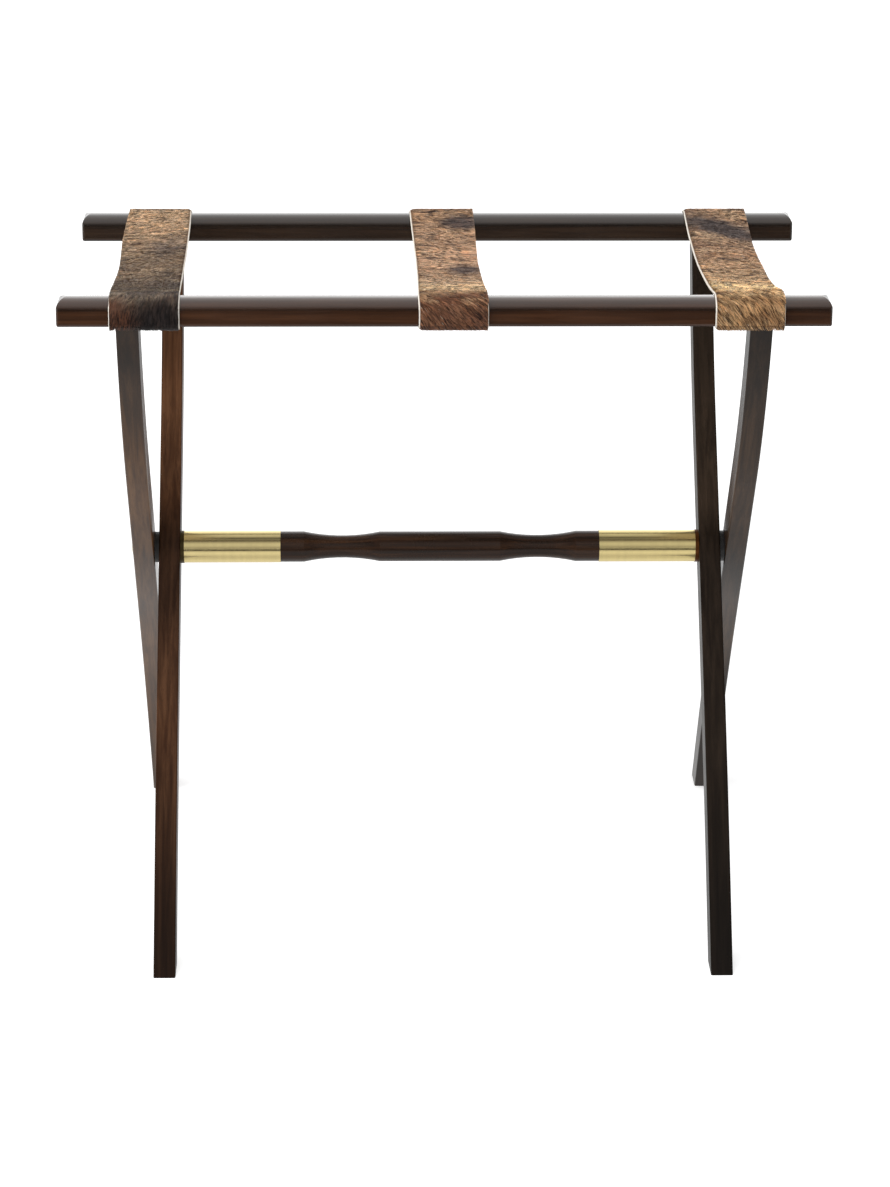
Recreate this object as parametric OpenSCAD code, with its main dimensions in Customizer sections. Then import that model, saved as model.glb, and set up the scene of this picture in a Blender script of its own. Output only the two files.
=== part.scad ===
// Folding luggage rack: two scissor frames with curved legs, a turned stretcher
// and three hide straps. It stands open on its four feet.
// X runs along the rails, +Y is the rear, +Z is up.
// The origin is on the floor, under the middle of the rack.

/* [Rails] */
// Length of each top rail
rail_len = 660; // [600:5:720]
// How far a rail reaches past the outer legs
rail_overhang = 50; // [30:1:70]
// Depth of a rail, front to back
rail_w = 36; // [34:1:42]
// Height of a rail's straight sides
rail_side_h = 16; // [12:1:22]
// Height of the rounded crown above the straight sides
rail_crown_h = 7; // [4:0.5:10]
// Distance between the centre lines of the two rails when the rack is open
rail_spacing = 308; // [290:2:330]
// Height of the underside of the rails when the rack is open
rail_under_h = 575; // [550:5:600]
// Radius of the upper corners at a rail's ends
rail_end_r = 8; // [3:0.5:12]
// Radius of the lower edges and of the end edges of a rail
rail_edge_r = 3; // [1:0.5:4]

/* [Legs] */
// Thickness of a leg board
leg_t = 19.5; // [18:0.5:24]
// Width of a leg, square to its length
leg_w = 28; // [24:1:32]
// Radius of a leg's long edges
leg_edge_r = 1.5; // [1:0.5:4]
// How far the straight middle of a leg would miss the rail's centre line
leg_top_bow = 36; // [26:1:44]
// How far the straight middle of a leg would miss the middle of the foot
leg_foot_bow = 20; // [12:1:28]
// Angle that a leg turns through between its middle and the rail
leg_top_turn = 18.5; // [12:0.5:24]
// Angle that a leg turns through between its middle and the foot
leg_foot_turn = 6; // [4:0.5:12]

/* [Pivot] */
// Height of the pivot above the floor
pivot_h = 322; // [310:2:340]
// Diameter of a pivot bolt's shank
bolt_d = 8; // [6:0.5:10]
// Diameter of a pivot bolt's head
bolt_head_d = 18; // [14:1:22]
// Height of a pivot bolt's head
bolt_head_h = 1.6; // [1.2:0.1:3]
// Length of bolt inside the stretcher
bolt_grip = 30; // [20:1:40]
// Diameter of the spacer between an outer and an inner leg
spacer_d = 28; // [24:1:32]
// Thickness of the spacer
spacer_t = 4; // [3:0.5:6]

/* [Stretcher] */
// Diameter of the stretcher's middle
stretcher_mid_d = 27.4; // [25:0.2:30]
// Diameter of the stretcher next to its ferrules
stretcher_end_d = 28; // [27:0.2:29]
// Diameter of the stretcher at its two waists
waist_d = 20.4; // [18:0.2:23]
// Distance of each waist from the middle of the stretcher
waist_x = 89; // [80:1:100]
// Length of the hollow that forms a waist
waist_len = 68; // [50:1:80]
// Diameter of a ferrule
ferrule_d = 29.2; // [28.6:0.2:32]
// Length of a ferrule
ferrule_len = 88; // [70:1:100]
// Thickness of a ferrule's wall
ferrule_wall = 1; // [0.6:0.1:2]
// Diameter of the collar between a ferrule and its leg
collar_d = 29.8; // [28:0.2:32]
// Thickness of that collar
collar_t = 3.2; // [2:0.2:5]

/* [Straps] */
// Width of a strap
strap_w = 61; // [50:1:70]
// Thickness of a strap, hide and hair together
strap_t = 3.4; // [2:0.2:4]
// How far the middle strap lies to the right
strap_mid_shift = 5; // [0:1:15]
// How far a strap sags between the rails
strap_sag = 11; // [6:1:25]
// Length of strap turned under a rail
strap_tail = 14; // [12:1:18]

/* [Fixings] */
// Diameter of a tack's head
tack_head_d = 7; // [6:0.5:9]
// Height of a tack's head
tack_head_h = 1; // [0.8:0.1:2.5]
// Diameter of a tack's shank
tack_d = 1.8; // [1.4:0.1:2.4]
// Depth of a tack in the rail
tack_depth = 9; // [6:0.5:12]
// Distance of a tack's middle from the end of the strap
tack_inset = 4; // [3.5:0.5:7]
// Distance between neighbouring tacks
tack_pitch = 18; // [14:1:19]
// Diameter of the screw that joins a rail to a leg
screw_d = 5; // [4:0.5:6]
// Diameter of the screw's head
screw_head_d = 9.6; // [8:0.4:12]
// Depth of the screw's countersunk head
screw_head_h = 2.6; // [2:0.2:4]
// How far the screw's head lies below the top of the crown
screw_sink = 1.5; // [0.5:0.5:3]
// Depth of the screw in the leg
screw_depth = 24; // [18:1:30]

/* [Clearances] */
// Radial clearance of a pivot bolt in the legs
pivot_clear = 0.05; // [0.01:0.01:0.1]
// Radial clearance of every other pin, screw or sleeve in its hole
fit_clear = 0.05; // [0.02:0.01:0.1]
// Side clearance where the outer legs turn
side_play = 0.1; // [0.05:0.05:0.3]
// Clearance round the soft straps
soft_clear = 0.3; // [0.2:0.1:0.6]

/* [Hidden] */
$fn = 96;

wood = [0.17, 0.09, 0.06];
brass = [0.78, 0.64, 0.36];
dark_brass = [0.35, 0.25, 0.13];
black_nylon = [0.06, 0.06, 0.06];
steel = [0.62, 0.62, 0.6];
hide = [0.55, 0.38, 0.26];

past = 1; // how far a cutter reaches past the face that it cuts
lap = 0.1; // how far the runs of one leg reach into each other

rail_h = rail_side_h + rail_crown_h;
crown_r = (rail_w * rail_w / 4 + rail_crown_h * rail_crown_h) / (2 * rail_crown_h);
crown_c = rail_h - crown_r; // height of the crown's centre above the rail's underside

// Across the rack, from the rails' ends inwards: outer leg, spacer, inner leg, collar, stretcher
inner_face_x = rail_len / 2 - rail_overhang - 2 * leg_t - side_play - spacer_t;
inner_mid_x = inner_face_x + leg_t / 2;
spacer_x = inner_face_x + leg_t;
outer_face_x = spacer_x + spacer_t + side_play;
outer_mid_x = outer_face_x + leg_t / 2;
bolt_head_x = outer_face_x + leg_t + side_play;
stretcher_end_x = inner_face_x - collar_t;

// Side view of the outer leg: an arc under the rail, a straight run through the pivot
// and a flatter arc to the foot. Angles are measured from the vertical.
mid_lean = atan((rail_spacing / 2 + leg_top_bow) / (rail_under_h - pivot_h));
top_lean = mid_lean - leg_top_turn;
foot_lean = mid_lean - leg_foot_turn;
foot_y = pivot_h * tan(mid_lean) - leg_foot_bow;
top_tangent = leg_top_bow * cos(mid_lean) / sin(leg_top_turn);
foot_tangent = leg_foot_bow * cos(mid_lean) / sin(leg_foot_turn);
top_arc_r = top_tangent / tan(leg_top_turn / 2);
foot_arc_r = foot_tangent / tan(leg_foot_turn / 2);
leg_top = [-rail_spacing / 2, rail_under_h];
leg_foot = [foot_y, 0];
top_arc_c = leg_top + top_arc_r * [cos(top_lean), sin(top_lean)];
foot_arc_c = leg_foot - foot_arc_r * [cos(foot_lean), sin(foot_lean)];
run_top = top_arc_c - top_arc_r * [cos(mid_lean), sin(mid_lean)];
run_foot = foot_arc_c + foot_arc_r * [cos(mid_lean), sin(mid_lean)];

// Side view of half a strap, as its middle line round the front rail.
// u is measured from the rail's centre line, v from its underside.
strap_off = soft_clear + strap_t / 2;
edge_steps = 5;
turn_steps = 6;
arris_steps = 5;
crown_steps = 9;
sag_steps = 14;
arris = [-rail_w / 2, rail_side_h];
arris_a = atan2(rail_side_h - crown_c, -rail_w / 2);
leave_a = 90 - atan(2 * strap_sag / (rail_spacing / 2));
leave = [(crown_r + strap_off) * cos(leave_a), crown_c + (crown_r + strap_off) * sin(leave_a)];
half_sag = rail_spacing / 2 - leave[0];

// A point of the strap's line with its normal: [u, v, normal u, normal v]
function on_arc(c, r, a) = [c[0] + r * cos(a), c[1] + r * sin(a), cos(a), sin(a)];
function arc_run(c, r, a0, a1, steps) = [for (i = [0:steps]) on_arc(c, r, a0 + (a1 - a0) * i / steps)];
function sag_point(u) =
    let (
        y = half_sag - u,
        slope = tan(90 - leave_a) * y / half_sag,
        n = norm([slope, 1])
    )
    [leave[0] + u, leave[1] - tan(90 - leave_a) * (half_sag * half_sag - y * y) / (2 * half_sag), slope / n, 1 / n];

turn_c = [-rail_w / 2 + rail_edge_r, rail_edge_r];
half_line = concat(
    [[-rail_w / 2 + strap_tail, -strap_off, 0, -1]],
    arc_run(turn_c, rail_edge_r + strap_off, 270, 180, turn_steps),
    arc_run(arris, strap_off, 180, arris_a, arris_steps),
    arc_run([0, crown_c], crown_r + strap_off, arris_a, leave_a, crown_steps),
    [for (i = [1:sag_steps]) sag_point(half_sag * i / sag_steps)]
);
// The line's rear half mirrors its front half.
function to_rack(p, off) = [p[0] + p[2] * off - rail_spacing / 2, p[1] + p[3] * off + rail_under_h];
function mirrored(list) = [for (i = [len(list) - 1:-1:0]) [-list[i][0], list[i][1]]];
function strap_side(off) =
    let (front = [for (p = half_line) to_rack(p, off)])
    concat(front, mirrored([for (i = [0:len(front) - 2]) front[i]]));
function backwards(list) = [for (i = [len(list) - 1:-1:0]) list[i]];

// An outer strap lies astride the gap between an outer and an inner leg.
strap_x = (spacer_x + outer_face_x) / 2;
strap_inner_edge = strap_x - strap_w / 2;
strap_outer_edge = strap_x + strap_w / 2;
// Tacks sit where no leg takes up the underside of the rail.
front_tack_x = (strap_inner_edge + outer_face_x - soft_clear) / 2;
rear_tack_x = (strap_outer_edge + spacer_x + soft_clear) / 2;
tack_y = rail_spacing / 2 + rail_w / 2 - strap_tail + tack_inset;
tail_under_h = rail_under_h - soft_clear - strap_t;

// Lays a drawing of the side view, drawn as (Y, Z), into the rack and gives it thickness along X.
module side_view() {
    rotate([90, 0, 90]) children();
}

// A piece of the right-hand side as its copy on the left
module left() {
    mirror([1, 0, 0]) children();
}
// Outer legs lean from the front rail to the rear feet, inner legs the other way.
module other_way() {
    mirror([0, 1, 0]) children();
}

module rounded_rect(w, h, r) {
    square([w - 2 * r, h], center = true);
    square([w, h - 2 * r], center = true);
    for (x = [-1, 1], y = [-1, 1]) translate([x * (w / 2 - r), y * (h / 2 - r)]) circle(r);
}

// Rails

module rail_section() {
    intersection() {
        translate([0, rail_side_h]) rounded_rect(rail_w, 2 * rail_side_h, rail_edge_r);
        translate([-rail_w, 0]) square([2 * rail_w, rail_side_h]);
    }
    intersection() {
        translate([0, crown_c]) circle(crown_r);
        translate([-rail_w, rail_side_h]) square([2 * rail_w, rail_crown_h + past]);
    }
}

// A rail along X, centred, with its underside at height 0
module rail_body() {
    intersection() {
        translate([-rail_len / 2, 0, 0]) side_view() linear_extrude(rail_len) rail_section();
        translate([0, rail_w, 0]) rotate([90, 0, 0]) linear_extrude(2 * rail_w) {
            intersection() {
                rounded_rect(rail_len, 2 * rail_h, rail_end_r);
                translate([-rail_len, 0]) square([2 * rail_len, rail_h]);
                translate([0, rail_h]) rounded_rect(rail_len, 2 * rail_h, rail_edge_r);
            }
        }
        linear_extrude(rail_h) rounded_rect(rail_len, rail_w, rail_edge_r);
    }
}

module screw_holes(xs) {
    sink_h = rail_h - screw_sink - screw_head_h;
    for (x = xs) translate([x, 0, 0]) {
        translate([0, 0, -past]) cylinder(d = screw_d + 2 * fit_clear, h = rail_h + 2 * past);
        translate([0, 0, sink_h]) {
            cylinder(
                d1 = screw_d + 2 * fit_clear, d2 = screw_head_d + 2 * fit_clear,
                h = screw_head_h + fit_clear
            );
        }
        translate([0, 0, sink_h + screw_head_h + fit_clear]) {
            cylinder(d = screw_head_d + 2 * fit_clear, h = screw_sink + past);
        }
    }
}

function front_screws() = [-outer_mid_x, outer_mid_x];
function rear_screws() = [-inner_mid_x, inner_mid_x];
function tack_pair(x) = [x - tack_pitch / 2, x + tack_pitch / 2];
function mid_tacks() = [for (i = [-1:1]) strap_mid_shift + i * tack_pitch];
function front_tacks() = concat(tack_pair(-front_tack_x), mid_tacks(), tack_pair(front_tack_x));
function rear_tacks() = concat(tack_pair(-rear_tack_x), mid_tacks(), tack_pair(rear_tack_x));

module tack_bores(xs, extra) {
    for (x = xs) translate([x, 0, -past - strap_t]) {
        cylinder(d = tack_d + 2 * extra, h = tack_depth + 2 * past + strap_t);
    }
}

module rail(screws, tacks, tack_side) {
    color(wood) difference() {
        translate([0, 0, rail_under_h]) rail_body();
        translate([0, 0, rail_under_h]) screw_holes(screws);
        translate([0, tack_side * (tack_y - rail_spacing / 2), rail_under_h]) tack_bores(tacks, fit_clear);
    }
}

module front_rail() {
    translate([0, -rail_spacing / 2, 0]) rail(front_screws(), front_tacks(), -1);
}
module rear_rail() {
    translate([0, rail_spacing / 2, 0]) rail(rear_screws(), rear_tacks(), 1);
}

// Legs

// Across a leg: a board whose long edges are rounded
module leg_section() {
    polygon([
        for (corner = [0:3], step = [0:edge_steps])
            let (
                x = (corner == 0 || corner == 3 ? 1 : -1) * (leg_w / 2 - leg_edge_r),
                y = (corner < 2 ? 1 : -1) * (leg_t / 2 - leg_edge_r),
                a = 90 * (corner + step / edge_steps)
            )
            [x + leg_edge_r * cos(a), y + leg_edge_r * sin(a)]
    ]);
}

// A point of the side view moved along a lean from the vertical, up or down
function moved(from, lean, up) = from + up * [-sin(lean), cos(lean)];

// A straight run of leg between two heights along a lean, measured from a point of the side view
module leg_run(from, lean, low, high) {
    start = moved(from, lean, low);
    translate([start[0], start[1], 0]) rotate([0, 0, lean]) rotate([-90, 0, 0]) {
        linear_extrude(high - low) leg_section();
    }
}

// A curved run of leg round a centre in the side view, between two directions
module leg_arc(centre, r, a0, turn) {
    translate([centre[0], centre[1], 0]) rotate([0, 0, a0]) {
        rotate_extrude(angle = turn, $fn = 256) translate([r, 0]) leg_section();
    }
}

// The outer leg's board, with its middle plane on X = 0
module leg_board() {
    intersection() {
        side_view() {
            leg_run(leg_top, top_lean, -lap, leg_w);
            leg_arc(top_arc_c, top_arc_r, 180 + top_lean, leg_top_turn);
            leg_run(run_foot, mid_lean, -lap, norm(run_top - run_foot) + lap);
            leg_arc(foot_arc_c, foot_arc_r, foot_lean, leg_foot_turn);
            leg_run(leg_foot, foot_lean, -leg_w, lap);
        }
        translate([-leg_t, -rail_spacing - foot_y, 0]) {
            cube([2 * leg_t, 2 * (rail_spacing + foot_y), rail_under_h]);
        }
    }
}

module leg(mid_x) {
    color(wood) translate([mid_x, 0, 0]) difference() {
        leg_board();
        translate([-leg_t, 0, pivot_h]) rotate([0, 90, 0]) {
            cylinder(d = bolt_d + 2 * pivot_clear, h = 2 * leg_t);
        }
        translate([0, -rail_spacing / 2, rail_under_h - screw_depth - fit_clear]) {
            cylinder(d = screw_d + 2 * fit_clear, h = screw_depth + past);
        }
    }
}

module outer_leg_left() {
    left() leg(outer_mid_x);
}
module outer_leg_right() {
    leg(outer_mid_x);
}
module inner_leg_left() {
    left() other_way() leg(inner_mid_x);
}
module inner_leg_right() {
    other_way() leg(inner_mid_x);
}

// Stretcher and what turns on it

// Turns a profile, drawn as (distance from the axis, X), round the pivot axis.
module on_pivot() {
    translate([0, 0, pivot_h]) rotate([0, 90, 0]) children();
}

module waist(x) {
    depth = (stretcher_mid_d - waist_d) / 2;
    r = (waist_len * waist_len / 4 + depth * depth) / (2 * depth);
    translate([waist_d / 2 + r, x]) circle(r, $fn = 200);
}

module stretcher() {
    shoulder_x = stretcher_end_x - ferrule_len;
    core_d = ferrule_d - 2 * ferrule_wall - 2 * fit_clear;
    color(wood) on_pivot() difference() {
        rotate_extrude() difference() {
            union() {
                translate([0, -waist_x]) square([stretcher_mid_d / 2, 2 * waist_x]);
                for (side = [-1, 1]) {
                    mid_y = side * (waist_x + shoulder_x) / 2;
                    translate([stretcher_end_d / 4, mid_y]) {
                        square([stretcher_end_d / 2, shoulder_x - waist_x], center = true);
                    }
                    core_y = side * (shoulder_x + stretcher_end_x) / 2;
                    translate([core_d / 4, core_y]) square([core_d / 2, ferrule_len], center = true);
                }
            }
            for (side = [-1, 1]) waist(side * waist_x);
        }
        for (side = [0, 180]) rotate([side, 0, 0]) translate([0, 0, stretcher_end_x - bolt_grip - past]) {
            cylinder(d = bolt_d + 2 * fit_clear, h = bolt_grip + 2 * past);
        }
    }
}

// A ring round the pivot axis, from x0 outwards
module ring(x0, len, outer, inner) {
    on_pivot() translate([0, 0, x0]) difference() {
        cylinder(d = outer, h = len);
        translate([0, 0, -past]) cylinder(d = inner, h = len + 2 * past);
    }
}

module ferrule() {
    color(brass) ring(stretcher_end_x - ferrule_len, ferrule_len, ferrule_d, ferrule_d - 2 * ferrule_wall);
}
module stretcher_collar() {
    color(dark_brass) ring(stretcher_end_x, collar_t, collar_d, bolt_d + 2 * fit_clear);
}
module pivot_spacer() {
    color(black_nylon) ring(spacer_x, spacer_t, spacer_d, bolt_d + 2 * fit_clear);
}

module pivot_bolt() {
    dome_r = (bolt_head_d * bolt_head_d / 4 + bolt_head_h * bolt_head_h) / (2 * bolt_head_h);
    shank_x = stretcher_end_x - bolt_grip;
    color(brass) on_pivot() {
        translate([0, 0, shank_x]) cylinder(d = bolt_d, h = bolt_head_x - shank_x);
        translate([0, 0, bolt_head_x]) rotate_extrude() intersection() {
            translate([0, bolt_head_h - dome_r]) circle(dome_r, $fn = 200);
            square([bolt_head_d / 2, bolt_head_h]);
        }
    }
}

module ferrule_left() {
    left() ferrule();
}
module ferrule_right() {
    ferrule();
}
module stretcher_collar_left() {
    left() stretcher_collar();
}
module stretcher_collar_right() {
    stretcher_collar();
}
module pivot_spacer_left() {
    left() pivot_spacer();
}
module pivot_spacer_right() {
    pivot_spacer();
}
module pivot_bolt_left() {
    left() pivot_bolt();
}
module pivot_bolt_right() {
    pivot_bolt();
}

// Screws and tacks

module rail_screw() {
    color(steel) rotate_extrude() polygon([
        [0, -screw_depth],
        [screw_d / 2, -screw_depth],
        [screw_d / 2, rail_h - screw_sink - screw_head_h],
        [screw_head_d / 2, rail_h - screw_sink],
        [0, rail_h - screw_sink]
    ]);
}

module rail_screws_front() {
    for (x = front_screws()) translate([x, -rail_spacing / 2, rail_under_h]) rail_screw();
}
module rail_screws_rear() {
    for (x = rear_screws()) translate([x, rail_spacing / 2, rail_under_h]) rail_screw();
}

module tack() {
    dome_r = (tack_head_d * tack_head_d / 4 + tack_head_h * tack_head_h) / (2 * tack_head_h);
    color(steel) translate([0, 0, tail_under_h - soft_clear]) {
        cylinder(d = tack_d, h = strap_t + 2 * soft_clear + tack_depth);
        rotate([180, 0, 0]) rotate_extrude() intersection() {
            translate([0, tack_head_h - dome_r]) circle(dome_r);
            square([tack_head_d / 2, tack_head_h]);
        }
    }
}

module strap_tacks_front() {
    for (x = front_tacks()) translate([x, -tack_y, 0]) tack();
}
module strap_tacks_rear() {
    for (x = rear_tacks()) translate([x, tack_y, 0]) tack();
}

// Straps

// Room in a strap's turned-under end for the top of a leg
module leg_notch(mid_x, side) {
    room = leg_t + 2 * soft_clear;
    y0 = rail_spacing / 2 - rail_w / 2;
    translate([mid_x - room / 2, side < 0 ? -y0 - rail_w : y0, tail_under_h - past]) {
        cube([room, rail_w, strap_t + past + soft_clear]);
    }
}

module strap(mid_x) {
    color(hide) difference() {
        translate([mid_x - strap_w / 2, 0, 0]) side_view() linear_extrude(strap_w) {
            polygon(concat(strap_side(strap_t / 2), backwards(strap_side(-strap_t / 2))));
        }
        for (side = [-1, 1]) {
            leg_notch(side * outer_mid_x, -1);
            leg_notch(side * inner_mid_x, 1);
        }
        translate([0, -tack_y, rail_under_h]) tack_bores(front_tacks(), soft_clear);
        translate([0, tack_y, rail_under_h]) tack_bores(rear_tacks(), soft_clear);
    }
}

module hide_strap_left() {
    strap(-strap_x);
}
module hide_strap_middle() {
    strap(strap_mid_shift);
}
module hide_strap_right() {
    strap(strap_x);
}

front_rail();
rear_rail();
outer_leg_left();
outer_leg_right();
inner_leg_left();
inner_leg_right();
stretcher();
ferrule_left();
ferrule_right();
stretcher_collar_left();
stretcher_collar_right();
pivot_spacer_left();
pivot_spacer_right();
pivot_bolt_left();
pivot_bolt_right();
rail_screws_front();
rail_screws_rear();
hide_strap_left();
hide_strap_middle();
hide_strap_right();
strap_tacks_front();
strap_tacks_rear();
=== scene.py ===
import math

import bmesh
import bpy
import numpy as np
from mathutils import Euler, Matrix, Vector


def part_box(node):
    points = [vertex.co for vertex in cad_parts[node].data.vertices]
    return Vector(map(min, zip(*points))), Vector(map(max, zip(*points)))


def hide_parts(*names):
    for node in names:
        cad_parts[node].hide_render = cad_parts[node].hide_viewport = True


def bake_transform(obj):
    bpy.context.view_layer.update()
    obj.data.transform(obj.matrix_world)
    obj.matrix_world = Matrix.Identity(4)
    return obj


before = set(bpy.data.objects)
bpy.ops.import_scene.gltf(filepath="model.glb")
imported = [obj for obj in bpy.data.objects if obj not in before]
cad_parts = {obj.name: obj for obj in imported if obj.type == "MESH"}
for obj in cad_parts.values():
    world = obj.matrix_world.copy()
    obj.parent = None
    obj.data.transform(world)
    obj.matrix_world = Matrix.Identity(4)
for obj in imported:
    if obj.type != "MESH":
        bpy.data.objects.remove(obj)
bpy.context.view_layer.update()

MM = 0.001
RAIL_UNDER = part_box("front_rail")[0][2]
TALLEST = 0.62  # just above the rack, where a ramp by height ends


def in_scene(name, data):
    """A new object with this data, linked to the scene."""
    made = bpy.data.objects.new(name, data)
    bpy.context.scene.collection.objects.link(made)
    return made


# Shader nodes

def feed(tree, made, feeds):
    """Each of a node's inputs gets its link or its constant."""
    for socket, source in feeds.items():
        if isinstance(source, bpy.types.NodeSocket):
            tree.links.new(source, made.inputs[socket])
        else:
            made.inputs[socket].default_value = source


def node(tree, kind, feeds=None, **settings):
    """One shader node, with its settings and what feeds its inputs."""
    made = tree.nodes.new("ShaderNode" + kind)
    for name, value in settings.items():
        setattr(made, name, value)
    feed(tree, made, feeds or {})
    return made


def colour(r, g, b):
    """A colour as it is seen on a screen, from 0 to 255, for a shader's socket."""
    def straight(c):
        c /= 255
        return c / 12.92 if c <= 0.04045 else ((c + 0.055) / 1.055) ** 2.4
    return (straight(r), straight(g), straight(b), 1)


def ramp(tree, source, stops):
    """A colour ramp with its stops as (place, colour)."""
    made = node(tree, "ValToRGB", {"Fac": source})
    elements = made.color_ramp.elements
    while len(elements) < len(stops):
        elements.new(0.5)
    for element, (place, shade) in zip(elements, stops):
        element.position = place
        element.color = shade
    return made.outputs["Color"]


def grey(value):
    return (value, value, value, 1)


def maths(tree, operation, a, b=None, c=None):
    """The result of one sum on up to three values."""
    feeds = {0: a}
    if b is not None:
        feeds[1] = b
    if c is not None:
        feeds[2] = c
    return node(tree, "Math", feeds, operation=operation).outputs[0]


def blended(tree, share, under, over, how="MIX"):
    """Two colours mixed by a share."""
    made = node(tree, "Mix", data_type="RGBA", blend_type=how)
    feed(tree, made, {0: share, 6: under, 7: over})
    return made.outputs[2]


def step_between(tree, value, low, high, to_low=0.0, to_high=1.0):
    """A smooth step from one value to another."""
    made = node(tree, "MapRange", {
        "Value": value, "From Min": low, "From Max": high, "To Min": to_low, "To Max": to_high,
    }, interpolation_type="SMOOTHSTEP")
    return made.outputs["Result"]


def new_group(name, inputs, outputs):
    """An empty shader node group with named sockets, given as (name, kind)."""
    group = bpy.data.node_groups.new(name, "ShaderNodeTree")
    for title, kind in inputs:
        group.interface.new_socket(title, in_out="INPUT", socket_type="NodeSocket" + kind)
    for title, kind in outputs:
        group.interface.new_socket(title, in_out="OUTPUT", socket_type="NodeSocket" + kind)
    way_in = group.nodes.new("NodeGroupInput")
    way_out = group.nodes.new("NodeGroupOutput")
    return group, way_in.outputs, way_out.inputs


def use_group(tree, group, feeds):
    """The outputs of one use of a node group."""
    made = tree.nodes.new("ShaderNodeGroup")
    made.node_tree = group
    feed(tree, made, feeds)
    return made.outputs


def new_material(name):
    """A material with only its output and one Principled shader."""
    material = bpy.data.materials.new(name)
    material.use_nodes = True
    tree = material.node_tree
    tree.nodes.clear()
    shader = tree.nodes.new("ShaderNodeBsdfPrincipled")
    out = tree.nodes.new("ShaderNodeOutputMaterial")
    tree.links.new(shader.outputs[0], out.inputs["Surface"])
    return material, tree, shader


def grain_group():
    """Straight grain along X: broad figure, fine dark pores and the height of both."""
    group, given, result = new_group(
        "Straight grain",
        [("Place", "Vector"), ("Figure width", "Float"), ("Pore depth", "Float")],
        [("Figure", "Float"), ("Pores", "Float"), ("Height", "Float")],
    )
    broad = node(group, "Mapping", {"Vector": given["Place"], "Scale": (7, 190, 190)})
    wide = node(group, "VectorMath", {
        0: broad.outputs[0], "Scale": given["Figure width"],
    }, operation="SCALE")
    figure = node(group, "TexNoise", {
        "Vector": wide.outputs[0], "Scale": 1.0, "Detail": 5.0, "Roughness": 0.6, "Distortion": 0.35,
    })
    fine = node(group, "Mapping", {"Vector": given["Place"], "Scale": (55, 1500, 1500)})
    pores = node(group, "TexNoise", {
        "Vector": fine.outputs[0], "Scale": 1.0, "Detail": 2.0, "Roughness": 0.5,
    })
    dark = step_between(group, pores.outputs["Fac"], 0.54, 0.7)
    group.links.new(step_between(group, figure.outputs["Fac"], 0.33, 0.7), result["Figure"])
    group.links.new(dark, result["Pores"])
    sunk = maths(group, "MULTIPLY", dark, given["Pore depth"])
    group.links.new(maths(group, "SUBTRACT", figure.outputs["Fac"], sunk), result["Height"])
    return group


def handling_group():
    """Where hands and floors rub a piece: its edges, broken up by a coarse noise."""
    group, given, result = new_group(
        "Rubbed edges",
        [("Place", "Vector"), ("Reach", "Float"), ("Patchiness", "Float")],
        [("Rubbed", "Float")],
    )
    rounded = node(group, "Bevel", {"Radius": given["Reach"]}, samples=4)
    shape = node(group, "NewGeometry")
    facing = node(group, "VectorMath", {
        0: rounded.outputs[0], 1: shape.outputs["Normal"],
    }, operation="DOT_PRODUCT")
    edge = step_between(group, facing.outputs["Value"], 0.995, 0.86)
    patches = node(group, "TexNoise", {
        "Vector": given["Place"], "Scale": given["Patchiness"], "Detail": 4.0,
    })
    broken = step_between(group, patches.outputs["Fac"], 0.42, 0.66)
    group.links.new(maths(group, "MULTIPLY", edge, broken), result["Rubbed"])
    return group


def smudge_group():
    """Soft uneven gloss, as polish and fingers leave on a finish."""
    group, given, result = new_group(
        "Uneven polish",
        [("Place", "Vector"), ("Size", "Float"), ("Low", "Float"), ("High", "Float")],
        [("Roughness", "Float"), ("Mask", "Float")],
    )
    cloudy = node(group, "TexNoise", {
        "Vector": given["Place"], "Scale": given["Size"], "Detail": 6.0, "Roughness": 0.62,
    })
    mask = step_between(group, cloudy.outputs["Fac"], 0.3, 0.72)
    span = maths(group, "SUBTRACT", given["High"], given["Low"])
    group.links.new(maths(group, "MULTIPLY_ADD", mask, span, given["Low"]), result["Roughness"])
    group.links.new(mask, result["Mask"])
    return group


STRAIGHT_GRAIN = grain_group()
RUBBED_EDGES = handling_group()
UNEVEN_POLISH = smudge_group()


def by_height(tree, place, stops):
    """A value that changes with the height above the floor, through stops as (height, value)."""
    height = node(tree, "SeparateXYZ", {0: place}).outputs[2]
    share = maths(tree, "DIVIDE", height, TALLEST)
    return ramp(tree, share, [(z / TALLEST, grey(value)) for z, value in stops])


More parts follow.
